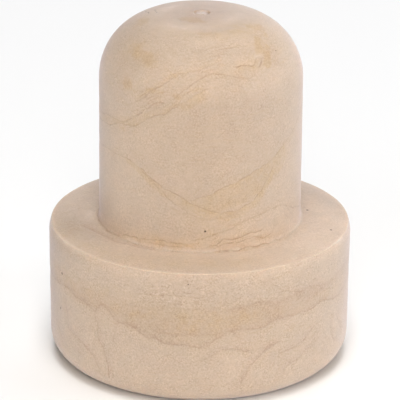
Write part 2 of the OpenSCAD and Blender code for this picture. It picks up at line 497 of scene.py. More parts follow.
# foam that browned, in spots: near the gate, on the nose and in the band round the head
TAN_CLOUDS = {
    "plug": (
        (-27, 2.2, 1.4, 0.7, 0.95), (5, 5.2, 0.9, 0.5, 0.35), (58, 5.2, 0.9, 0.5, 0.45),
        (-79, 5.8, 1.1, 0.9, 0.72), (67, 6.0, 0.9, 0.6, 0.6), (50, 7.1, 0.5, 0.5, 0.7),
        (62, 7.1, 0.6, 0.5, 0.6), (45, 7.8, 0.5, 0.5, 0.65), (42, 7.9, 0.9, 0.6, 0.3),
        (162, 8.0, 2.6, 1.2, 0.8), (53, 8.3, 0.4, 0.5, 0.6), (41, 8.5, 0.35, 0.4, 0.5),
        (-50, 8.6, 1.7, 1.2, 0.6), (43, 8.9, 0.7, 0.7, 0.3), (48, 9.0, 0.4, 0.5, 0.8),
        (-35, 9.1, 1.0, 0.8, 0.6), (16, 9.2, 1.6, 0.3, 0.3), (45, 9.8, 0.5, 0.5, 0.9),
        (-13, 10.2, 1.0, 0.5, 0.42), (-150, 11.0, 1.8, 1.2, 0.8), (-2, 11.4, 1.2, 0.3, 0.4),
        (-46, 11.9, 1.0, 0.8, 0.65), (-27, 11.9, 1.1, 0.4, 0.6), (-12, 12.2, 1.0, 0.35, 0.4),
        (-49, 16.5, 1.8, 0.5, 0.45), (170, 18.6, 4.0, 0.7, 0.6), (-8, 26.9, 1.6, 0.35, 0.5),
    ),
    "head": (
        (41, 10.0, 2.8, 0.7, 0.25), (-130, 9.8, 3.0, 0.8, 0.6), (18, 9.4, 2.4, 0.7, 0.35),
        (150, 9.4, 4.0, 0.9, 0.6), (-22, 9.2, 2.0, 0.8, 0.3), (-2, 8.6, 2.4, 1.0, 0.4),
    ),
}

# wide soft zones of foam that is only a little browner
WARM_CLOUDS = {
    "plug": (
        (20, 3.9, 2.4, 0.6, 0.4), (52, 4.5, 1.8, 0.7, 0.55), (0, 5.3, 2.2, 0.7, 0.35),
        (26, 5.4, 2.2, 0.7, 0.55), (50, 5.6, 2.0, 0.8, 0.55), (50, 8.0, 2.2, 1.8, 0.3),
        (-47, 8.8, 2.8, 1.8, 0.15), (22, 9.6, 3.0, 0.6, 0.25), (-2, 10.6, 4.5, 1.6, 0.05),
        (-30, 12.2, 3.0, 1.0, 0.15), (0, 16.5, 7.0, 5.0, 0.25), (150, 19.5, 5.0, 1.2, 0.4),
        (8, 24.8, 3.2, 1.4, 0.35), (74, 25.2, 1.6, 2.0, 0.3), (-42, 26.4, 2.4, 0.8, 0.1),
        (9, 26.4, 3.4, 0.9, 0.1), (-66, 26.6, 2.6, 0.8, 0.25), (-24, 26.6, 2.2, 0.6, 0.3),
        (47, 26.6, 2.0, 0.8, 0.2), (-9, 26.8, 2.2, 0.6, 0.3), (30, 26.8, 2.6, 0.8, 0.2),
        (165, 26.8, 6.0, 0.8, 0.5), (2, 29.6, 4.0, 1.3, 0.45), (18, 29.8, 3.4, 1.2, 0.3),
        (-22, 30.0, 4.2, 1.3, 0.3), (-78, 30.2, 2.6, 1.6, 0.3), (-44, 30.8, 3.4, 1.3, 0.3),
        (-70, 31.2, 3.0, 1.4, 0.4),
    ),
    "head": (
        (46, 9.9, 4.5, 1.1, 0.15), (-130, 9.6, 9.0, 1.4, 0.4), (-66, 9.6, 3.6, 1.0, 0.25),
        (20, 9.5, 3.6, 1.2, 0.4), (-42, 9.4, 3.6, 1.3, 0.2), (140, 9.4, 9.0, 1.4, 0.4),
        (-18, 9.2, 4.0, 1.6, 0.45), (2, 8.7, 4.0, 1.7, 0.45), (-78, 8.5, 2.6, 5.0, 0.2),
    ),
}

# skin that is darker or, where the strength is negative, lighter than the rest: partly the foam's own tone,
# and partly painted light (the plug's foot and the head's bottom, lightened against the shade at seat and
# floor)
# partly painted shade (the plug's shadow on the seat at the left, and the darker left and right outlines),
TONE_PAINTED_SHADE_AND_LIGHT_CLOUDS = {
    "plug": (
        (0, 0.0, 3.0, 3.0, 0.35), (58, 4.2, 2.6, 1.2, 0.15), (-46, 4.8, 2.2, 1.2, -0.3),
        (14, 5.9, 2.6, 0.8, -0.5), (-66, 7.6, 4.0, 2.8, 0.45), (0, 7.8, 2.2, 0.8, 0.2),
        (30, 8.0, 1.2, 1.0, 0.2), (36, 8.0, 1.6, 1.6, -0.25), (-46, 8.2, 1.4, 1.0, -0.25),
        (-26, 8.8, 3.4, 0.8, 0.2), (22, 9.2, 0.9, 0.6, 0.4), (29, 9.3, 2.0, 1.0, -0.3),
        (29, 9.3, 1.0, 0.5, -0.3), (2, 9.4, 4.0, 1.2, -0.2), (-52, 11.0, 2.4, 2.2, 0.45),
        (-1, 11.6, 1.6, 0.6, -0.3), (5, 13.1, 1.6, 0.8, 0.2), (-84, 13.5, 1.2, 4.0, 0.25),
        (24, 14.5, 6.0, 5.0, 0.12), (-48, 15.5, 3.5, 4.0, -0.12), (-72, 16.2, 2.0, 1.4, 0.3),
        (32, 20.2, 1.2, 0.8, 0.3), (-58, 20.5, 2.6, 6.0, -0.15), (56, 21.2, 1.4, 1.0, -0.25),
        (-52, 24.0, 2.6, 3.4, -0.22), (22, 24.0, 2.6, 1.4, -0.2), (42, 24.8, 3.0, 1.6, -0.2),
        (-84, 25.2, 1.8, 2.6, 0.25), (54, 25.2, 2.0, 1.0, -0.3), (12, 25.4, 5.0, 1.4, -0.2),
        (80, 25.5, 1.4, 2.0, 0.25), (24, 26.0, 3.0, 0.9, -0.45), (-14, 26.6, 2.0, 0.6, -0.15),
        (-26, 27.1, 2.0, 0.5, -0.3), (38, 27.5, 2.0, 0.6, -0.3), (-88, 27.8, 1.6, 0.6, -0.4),
        (-57, 28.0, 1.6, 0.5, 0.4), (69, 28.5, 1.4, 0.6, -0.3), (110, 28.9, 2.0, 0.7, -0.4),
        (25, 29.0, 2.6, 0.8, -0.3), (-68, 29.2, 4.5, 1.6, 0.5), (176, 29.6, 3.0, 1.2, 0.5),
        (-96, 29.8, 4.5, 2.2, 0.55), (84, 30.0, 3.0, 2.0, -0.2), (-62, 30.2, 3.6, 1.6, 0.3),
        (55, 30.2, 2.6, 1.6, -0.3), (-74, 30.6, 3.0, 1.4, 0.35), (110, 30.9, 4.0, 1.3, 0.85),
        (26, 31.1, 3.0, 0.8, -0.3), (52, 31.6, 2.4, 0.7, -0.35), (82, 31.7, 1.6, 0.8, -0.6),
        (-80, 31.9, 1.4, 0.5, -0.3),
    ),
    "head": (
        (-62, 13.3, 1.4, 0.5, 0.4), (-22, 13.2, 3.0, 0.4, -0.2), (-52, 13.0, 2.0, 0.6, 0.3),
        (-28, 13.0, 2.4, 0.8, -0.25), (27, 12.8, 3.0, 0.9, -0.25), (-72, 12.6, 2.6, 1.4, 0.5),
        (-8, 12.3, 4.0, 1.2, -0.12), (80, 11.0, 3.0, 3.2, 0.5), (-9, 9.5, 1.6, 0.8, 0.3),
        (-87, 9.0, 2.2, 5.0, 0.3), (-80, 8.0, 3.0, 7.0, 0.6), (-14, 7.5, 3.5, 0.8, 0.12),
        (14, 5.0, 1.6, 2.6, -0.2), (18, 5.0, 3.0, 1.0, -0.12), (-43, 4.8, 1.6, 2.0, -0.2),
        (0, 1.6, 9.0, 1.2, -0.1),
    ),
}

# skin that is pinker and a little darker: round the gate, in the plug's middle and in the head's band
SHADE_CLOUDS = {
    "plug": (
        (0, 0.0, 3.0, 3.0, 0.7), (-27, 2.2, 1.4, 0.8, 0.3), (5, 5.2, 1.2, 0.6, 0.3),
        (24, 14.5, 6.0, 5.0, 0.2), (-6, 16.5, 6.0, 4.0, 0.15), (-17, 20.9, 2.0, 1.0, 0.3),
    ),
    "head": (
        (54, 10.0, 1.6, 0.6, 0.3), (44, 9.8, 2.8, 0.8, 0.45), (-50, 9.5, 2.8, 0.8, 0.5),
        (30, 9.5, 2.8, 0.9, 0.4), (-34, 9.2, 2.2, 0.8, 0.35), (16, 9.2, 2.6, 1.0, 0.25),
        (-52, 9.0, 1.0, 0.5, 0.25), (-20, 8.6, 3.2, 1.0, 0.4), (-2, 8.4, 3.0, 1.0, 0.2),
    ),
}

# paler skin: a thick stretch of the flash with a painted highlight along it, and thin films of denser foam;
# also painted light on the plug's left side and on the seat at the left corner
PALE_SKIN_AND_PAINTED_LIGHT_CLOUDS = {
    "plug": (
        (60, 3.2, 2.4, 0.7, 0.3), (-121, 3.8, 1.8, 0.8, 0.5), (-8, 3.9, 1.4, 0.4, 0.4),
        (-30, 4.4, 2.6, 0.5, 0.3), (41, 8.8, 0.5, 0.25, 0.8), (-84, 21.0, 2.6, 5.0, 0.16),
        (-88, 28.4, 1.3, 0.6, 0.4),
    ),
    "head": (
        (-62, 13.7, 3.4, 0.4, 0.35), (-120, 13.6, 3.0, 0.25, 0.8), (66, 13.6, 2.4, 0.2, 0.6),
    ),
}

# skin drawn into fine wrinkles along the flow
WRINKLED = {
    "plug": (
        (12, 7.8, 4.4, 1.8, 0.5), (46, 8.9, 1.4, 1.2, 0.8), (8, 9.6, 3.0, 0.8, 0.6),
        (170, 10.6, 4.0, 1.4, 0.7), (-28, 12.8, 2.6, 1.2, 0.8), (-50, 16.2, 2.0, 0.5, 0.6),
        (42, 20.8, 1.2, 1.6, 0.5), (-12, 23.4, 1.6, 0.5, 0.5), (30, 26.5, 3.6, 0.8, 0.6),
        (-30, 27.0, 6.0, 0.35, 0.8), (-84, 30.2, 4.0, 1.6, 0.5),
    ),
    "head": (
        (50, 5.0, 3.6, 1.6, 0.4), (-50, 4.4, 3.0, 2.0, 0.3),
    ),
}

# skin with short pits and pale crumbs, below the parting edge
PITTED = {
    "head": (
        (22, 12.0, 3.4, 1.2, 0.6), (-10, 11.6, 6.0, 1.5, 1.0), (42, 11.4, 3.6, 0.9, 0.6),
        (-140, 11.2, 7.0, 1.4, 0.8), (130, 11.0, 7.0, 1.4, 0.8),
    ),
}

# the field of the skin that each set of clouds adds to
CLOUDS = {
    "tan": TAN_CLOUDS,
    "warm": WARM_CLOUDS,
    "dark": TONE_PAINTED_SHADE_AND_LIGHT_CLOUDS,
    "shade": SHADE_CLOUDS,
    "pale": PALE_SKIN_AND_PAINTED_LIGHT_CLOUDS,
    "wrinkled": WRINKLED,
    "pitted": PITTED,
}

# charred grains that show as dark specks: part, degrees, mm, and radius in mm
SPECKS = (
    ("plug", 3, 25.4, 0.1),
    ("plug", 98, 28.2, 0.13),
    ("plug", 74.5, 30.7, 0.12),
    ("plug", -108, 5.7, 0.09),
    ("plug", -103, 5.3, 0.09),
    ("plug", -100, 5.2, 0.07),
    ("plug", -110, 4.8, 0.07),
    ("plug", -105, 4.6, 0.07),
    ("plug", -100, 4.4, 0.07),
    ("plug", 104, 10.6, 0.12),
    ("plug", 58, 8.9, 0.06),
    ("head", -64, 10.3, 0.13),
    ("head", -66, 6.5, 0.1),
    ("head", -4, 12.7, 0.06),
)

# mm over which a line fades at its ends, and beyond which it has no effect
END_FADE = 0.8
LINE_REACH = 3.0
# offsets are kept in units of this half-width of a line in mm, and no further than this many of them
LINE_WIDTH = 0.06
FARTHEST = 12.0
# mm from a line within which the flow beside it runs along it, and how hard it is held level elsewhere
PULL_REACH = 1.2
LEVEL_PULL = 0.1


def smooth_path(points, step=0.25):
    """A curve through all the points, sampled about step apart."""
    knots = np.concatenate([[2 * points[0] - points[1]], points, [2 * points[-1] - points[-2]]])
    path = []
    for a, b, c, d in zip(knots[:-3], knots[1:-2], knots[2:-1], knots[3:]):
        count = max(2, int(np.linalg.norm(c - b) / step))
        t = np.linspace(0, 1, count, endpoint=False)[:, None]
        bend = (c - a) * t + (2 * a - 5 * b + 4 * c - d) * t**2 + (3 * b - a - 3 * c + d) * t**3
        path.append(b + bend / 2)
    path.append(points[-1:])
    return np.concatenate(path)


def ease(low, high, value):
    """0 at low and 1 at high, with a soft start and end; low may be the larger."""
    t = np.clip((value - low) / (high - low), 0, 1)
    return t * t * (3 - 2 * t)


def layers_of(paths, apart=1.6):
    """A layer's number for each path, so that the paths of one layer keep this many mm apart."""
    layers = []
    for number, path in enumerate(paths):
        taken = set()
        for other, layer in enumerate(layers):
            gaps = np.linalg.norm(path[:, None] - paths[other][None], axis=2)
            if gaps.min() < apart:
                taken.add(layer)
        layers.append(min(set(range(number + 1)) - taken))
    return layers


def near_path(path, points, normals):
    """The points near a path: their numbers, offsets to its left, and places along it; and its length."""
    low, high = path.min(0) - LINE_REACH, path.max(0) + LINE_REACH
    near = np.flatnonzero(((points > low) & (points < high)).all(1))
    steps = np.diff(path, axis=0)
    sizes = np.linalg.norm(steps, axis=1)
    gone = np.concatenate([[0], np.cumsum(sizes)])
    offset = np.full(len(near), np.inf)
    along = np.zeros(len(near))
    for k, (start, step, size) in enumerate(zip(path, steps, sizes)):
        from_start = points[near] - start
        t = from_start @ step / size**2
        # the first and the last step run on straight past the path's ends
        t_low = -np.inf if k == 0 else 0
        t_high = np.inf if k == len(steps) - 1 else 1
        away = from_start - np.clip(t, t_low, t_high)[:, None] * step
        distance = np.linalg.norm(away, axis=1)
        side = (away * np.cross(normals[near], step)).sum(1)
        closer = distance < abs(offset)
        offset[closer] = np.where(side < 0, -distance, distance)[closer]
        along[closer] = (gone[k] + t * size)[closer]
    close = abs(offset) < LINE_REACH
    return near[close], offset[close], along[close], gone[-1]


def line_fields(section, points, normals):
    """Fields that the flow lines set at each vertex, by name, and the number of layers.

    Each layer has the offset from its nearest line, that line's mark and the tint of its strip. The others
    are across, which rises by 1 for each mm across the flow, groove, halo and shade.
    """
    count = len(points)
    paths = []
    for line in FLOW_LINES:
        paths.append(smooth_path(np.array([section.spot(line.part, *place) for place in line.points])))
    layers = layers_of(paths)
    offsets = np.full((max(layers) + 1, count), FARTHEST)
    distances = np.full_like(offsets, LINE_REACH)
    marks = np.zeros_like(offsets)
    tints = np.zeros_like(offsets)
    grooves = np.zeros(count)
    halo = np.zeros(count)
    shade = np.zeros(count)
    # far from all lines the flow runs level, and each line near by pulls it along itself
    pull_sum = np.full(count, LEVEL_PULL)
    level_sum = np.zeros(count)
    for line, path, layer in zip(FLOW_LINES, paths, layers):
        near, offset, along, whole = near_path(path, points, normals)
        closed = abs(line.points[-1][0] - line.points[0][0]) == 360
        to_end = np.full(len(near), END_FADE) if closed else np.minimum(along, whole - along)
        fade = ease(0, END_FADE, to_end)
        scaled = np.clip(offset / LINE_WIDTH, -FARTHEST, FARTHEST)
        nearest = abs(offset) < distances[layer, near]
        chosen = near[nearest]
        distances[layer, chosen] = abs(offset)[nearest]
        offsets[layer, chosen] = scaled[nearest]
        marks[layer, chosen] = (line.dark * fade * ease(1.0, 0.4, abs(offset)))[nearest]
        if line.tan:
            swell = np.sin(np.clip(along / whole, 0, 1) * math.pi) ** 0.3
            reach = np.maximum(line.reach * (1 if closed else swell), 0.05)
            strip = line.tan * fade * ease(1.0, 0.75, abs(offset) / reach)
            tints[layer, chosen] = strip[nearest]
        # the lip of a fold is steep above its bottom and rolls off slowly below it
        lip = np.where(offset > 0, 0.25, 0.5)
        grooves[near] = np.maximum(grooves[near], line.groove * fade * np.exp(-((offset / lip) ** 2)))
        halo[near] = np.maximum(halo[near], line.dark * fade * np.exp(-((offset / 0.5) ** 2)))
        side = np.where(offset > 0, 0.45, 0.15)
        shade[near] = np.maximum(shade[near], line.shade * fade * np.exp(-((offset / side) ** 2)))
        pull = fade * np.exp(-((offset / PULL_REACH) ** 2))
        pull_sum[near] += pull
        level_sum[near] += pull * (path[:, 2].mean() + offset)
    fields = {"across": (level_sum + LEVEL_PULL * points[:, 2]) / pull_sum}
    fields.update(groove=grooves, halo=halo, shade=shade)
    for layer in range(len(offsets)):
        fields[f"offset_{layer}"] = offsets[layer]
        fields[f"mark_{layer}"] = marks[layer]
        fields[f"tint_{layer}"] = tints[layer]
    return fields, len(offsets)


def cloud_field(clouds, section, points):
    """The sum of the clouds at each vertex."""
    total = np.zeros(len(points))
    for part, spots in clouds.items():
        for degrees, distance, length_round, height, strength in spots:
            away = points - section.spot(part, degrees, distance)
            turn = math.radians(degrees)
            along = away @ np.array([math.cos(turn), math.sin(turn), 0])
            across_squared = (away**2).sum(1) - along**2
            total += strength * np.exp(-((along / length_round) ** 2) - across_squared / height**2)
    return total


# ---------------------------------------------------------------------------
# The stopper
# ---------------------------------------------------------------------------

# steps round the axis
TURNS = 320


def revolve(outline, name):
    """A closed mesh turned from the outline, whose first and last points are on the axis."""
    rings = outline[1:-1]
    angles = np.arange(TURNS) * 2 * math.pi / TURNS
    radius, height = rings[:, 0][:, None], rings[:, 1][:, None]
    points = np.stack([radius * np.sin(angles), -radius * np.cos(angles), height + 0 * angles], axis=-1)
    points = np.concatenate([points.reshape(-1, 3), [[0, 0, outline[0, 1]], [0, 0, outline[-1, 1]]]])
    tip, base = len(points) - 2, len(points) - 1
    faces = []
    for ring in range(len(rings) - 1):
        here, below = ring * TURNS, (ring + 1) * TURNS
        for i in range(TURNS):
            j = (i + 1) % TURNS
            faces.append((here + i, below + i, below + j, here + j))
    last = (len(rings) - 1) * TURNS
    for i in range(TURNS):
        j = (i + 1) % TURNS
        faces.append((tip, i, j))
        faces.append((base, last + j, last + i))
    mesh = bpy.data.meshes.new(name)
    mesh.from_pydata(points.tolist(), [], faces)
    mesh.update()
    return mesh


# unevenness of the skin: how many lumps go to the mm, and their height in mm
SWELLS = (0.3, 0.02)
LUMPS = (1.1, 0.006)
TORN = (3.5, 0.08)
# the whole skin is drawn in by this many mm, so that no swell passes the parting edge
DRAWN_IN = 0.02


def unevenness(points, per_mm, height):
    """Soft lumps over the points, in mm."""
    return height * np.array([noise.noise(Vector(point) * per_mm) for point in points])


def relief(groove, points, sizes):
    """How far each vertex stands out from the turned surface, in mm."""
    from_axis = np.hypot(points[:, 0], points[:, 1])
    above = points[:, 2] > sizes.overall_height / MM / 2
    at_gate = ease(0.7, 0.4, from_axis) * above
    out = unevenness(points, *SWELLS) + unevenness(points, *LUMPS)
    out += at_gate * unevenness(points, *TORN)
    out -= groove + DRAWN_IN
    # the flat face stays flat
    return out * ease(0.0, 0.6, points[:, 2])


def build_stopper(sizes):
    """The stopper's mesh in metres with its relief, its section, and the names of its skin's fields."""
    outline, edge = section_outline(sizes)
    section = Section(outline, edge)
    mesh = revolve(outline, "moulded_stopper")
    points = np.empty(len(mesh.vertices) * 3)
    mesh.vertices.foreach_get("co", points)
    points = points.reshape(-1, 3)
    normals = np.empty(points.size)
    mesh.vertices.foreach_get("normal", normals)
    normals = normals.reshape(-1, 3)
    fields, layer_count = line_fields(section, points, normals)
    raised = points + normals * relief(fields.pop("groove"), points, sizes)[:, None]
    mesh.vertices.foreach_set("co", (raised * MM).ravel())

    for name, clouds in CLOUDS.items():
        fields[name] = fields.get(name, 0) + cloud_field(clouds, section, points)
    # painted light: the plug's side is lightened towards its foot, against the shade of its corner with the
    # seat
    foot = (sizes.edge_height + sizes.seat_rise) / MM
    on_plug = ease(0.2, 0.05, np.hypot(points[:, 0], points[:, 1]) - sizes.plug_radius / MM)
    fields["dark"] -= 0.9 * on_plug * ease(foot + 2.2, foot + 0.1, points[:, 2]) * (points[:, 2] > foot)
    for name, values in fields.items():
        attribute = mesh.attributes.new(name, "FLOAT", "POINT")
        attribute.data.foreach_set("value", values.astype(np.float32))
    mesh.shade_smooth()
    mesh.update()
    return mesh, section, list(fields), layer_count


# Widths of the skin's patterns in mm, each one cell of its noise. The foam's own grain is finer, and is
# drawn as coarse as this so that it shows.
GRAIN = 0.1538
PATCH = 1.111
HAZE = 1.818
WANDER = 0.909
BLOTCH = 1.111
PIT = 0.526
# the wrinkles and streaks are this long, run along the flow, and are so many times narrower
WRINKLE = 1.667
STREAK = 0.769
NARROWER = 6.0

# the sockets of a colour mix, whose names aren't unique
FACTOR, UNDER, OVER, MIXED = 0, 6, 7, 2


def flow_marks(node, place, field, layer_count):
    """The flow lines, the brown beside them, and the noise that makes both wander."""
    wander = node(
        "ShaderNodeTexNoise", {"Vector": place, "Scale": 1 / WANDER, "Detail": 3.0, "Roughness": 0.55}
    )
    wander = node("ShaderNodeMapRange", {"Value": wander, "To Min": -4.0, "To Max": 4.0})
    broken = node("ShaderNodeTexNoise", {"Vector": place, "Scale": 1 / WANDER, "Detail": 2.0})
    broken = node(
        "ShaderNodeMapRange",
        {"Value": broken, "From Min": 0.38, "From Max": 0.58, "To Min": 0.35},
    )

    # each layer draws its lines where the offset is near 0, and the brown strip on the line's left
    lines = 0.0
    brown = node("ShaderNodeMath", {0: field["halo"], 1: 0.7, 2: field["warm"]}, operation="MULTIPLY_ADD")
    for layer in range(layer_count):
        offset = node("ShaderNodeMath", {0: field[f"offset_{layer}"], 1: wander}, operation="ADD")
        distance = node("ShaderNodeMath", {0: offset}, operation="ABSOLUTE")
        near = node(
            "ShaderNodeMapRange",
            {"Value": distance, "From Min": 0.3, "From Max": 2.0, "To Min": 0.75, "To Max": 0.0},
            interpolation_type="SMOOTHSTEP",
        )
        line = node("ShaderNodeMath", {0: near, 1: field[f"mark_{layer}"]}, operation="MULTIPLY")
        lines = node("ShaderNodeMath", {0: line, 1: lines}, operation="MAXIMUM")
        left = node(
            "ShaderNodeMapRange",
            {"Value": offset, "From Min": -1.5, "From Max": 1.5},
            interpolation_type="SMOOTHSTEP",
        )
        tint = {0: left, 1: field[f"tint_{layer}"], 2: brown}
        brown = node("ShaderNodeMath", tint, operation="MULTIPLY_ADD")
    lines = node("ShaderNodeMath", {0: lines, 1: broken}, operation="MULTIPLY")
    return lines, brown, wander


def fine_marks(node, place, wrinkle, field, lines):
    """The lines with wrinkles and short level pits added, and the pale crumbs between the pits."""
    crinkle = node(
        "ShaderNodeMapRange",
        {"Value": wrinkle, "From Min": 0.45, "From Max": 0.68, "To Max": 0.22},
        interpolation_type="SMOOTHSTEP",
    )
    crinkle = node("ShaderNodeMath", {0: crinkle, 1: field["wrinkled"]}, operation="MULTIPLY")
    lines = node("ShaderNodeMath", {0: lines, 1: crinkle}, operation="ADD")

    squashed = node("ShaderNodeVectorMath", {0: place, 1: (1.0, 1.0, 2.2)}, operation="MULTIPLY")
    pits = node(
        "ShaderNodeTexNoise", {"Vector": squashed, "Scale": 1 / PIT, "Detail": 2.0, "Roughness": 0.6}
    )
    crumbs = node(
        "ShaderNodeMapRange",
        {"Value": pits, "From Min": 0.42, "From Max": 0.28, "To Max": 0.65},
        interpolation_type="SMOOTHSTEP",
    )
    crumbs = node("ShaderNodeMath", {0: crumbs, 1: field["pitted"]}, operation="MULTIPLY")
    pits = node(
        "ShaderNodeMapRange",
        {"Value": pits, "From Min": 0.56, "From Max": 0.72, "To Max": 0.4},
        interpolation_type="SMOOTHSTEP",
    )
    pits = node("ShaderNodeMath", {0: pits, 1: field["pitted"]}, operation="MULTIPLY")
    lines = node("ShaderNodeMath", {0: lines, 1: pits}, operation="ADD")
    return lines, crumbs


def skin_tones(node, place, along_flow, field, grain, height):
    """Two tones for the paint: one from haze, streaks and the dark field, which holds dark zones of the skin
    with painted shade and painted light, and one per channel from the grain.
    """
    haze = node("ShaderNodeTexNoise", {"Vector": place, "Scale": 1 / HAZE, "Detail": 3.0})
    streak = node("ShaderNodeTexNoise", {"Vector": along_flow, "Scale": 1 / STREAK, "Detail": 3.0})
    soft = {"From Min": 0.3, "From Max": 0.7, "To Min": 0.97, "To Max": 1.03}
    haze = node("ShaderNodeMapRange", {"Value": haze, **soft})
    streak = node("ShaderNodeMapRange", {"Value": streak, **soft})
    tone = node("ShaderNodeMath", {0: haze, 1: streak}, operation="MULTIPLY")
    # the dark field holds painted shade and painted light as well as the skin's own dark zones
    dark = node("ShaderNodeMath", {0: field["dark"], 1: -0.16, 2: 1.0}, operation="MULTIPLY_ADD")
    tone = node("ShaderNodeMath", {0: tone, 1: dark}, operation="MULTIPLY")

    # the head's side is coarser than the plug, and the end of the nose is smoother
    coarse = node(
        "ShaderNodeMapRange",
        {"Value": height, "From Min": 13.5, "From Max": 13.8, "To Min": 0.74, "To Max": 0.58},
    )
    smooth = node(
        "ShaderNodeMapRange",
        {"Value": height, "From Min": 33.6, "From Max": 34.2, "To Min": 1.0, "To Max": 0.5},
    )
    coarse = node("ShaderNodeMath", {0: coarse, 1: smooth}, operation="MULTIPLY")
    grain = node("ShaderNodeMath", {0: grain, 1: coarse}, operation="MULTIPLY")
    # a pore holds more of the foam's own yellow than a crest
    grain = node(
        "ShaderNodeVectorMath",
        {0: grain, 1: (0.82, 1.0, 1.12), 2: (1.0, 1.0, 1.0)},
        operation="MULTIPLY_ADD",
    )
    return tone, grain


def flash_paleness_and_highlight(node, place, height, edge):
    """How pale the flash along the parting edge is: partly its own paler skin, partly a painted highlight on
    its crest.
    """
    outwards = node("ShaderNodeVectorMath", {0: place, 1: (1.0, 1.0, 0.0)}, operation="MULTIPLY")
    outwards = node("ShaderNodeVectorMath", {0: outwards}, output="Value", operation="LENGTH")
    turned = node("ShaderNodeCombineXYZ", {0: outwards, 2: height})
    away = node("ShaderNodeVectorMath", {0: turned, 1: edge}, output="Value", operation="DISTANCE")
    return node(
        "ShaderNodeMapRange",
        {"Value": away, "From Min": 0.1, "From Max": 0.35, "To Min": 0.15, "To Max": 0.0},
    )


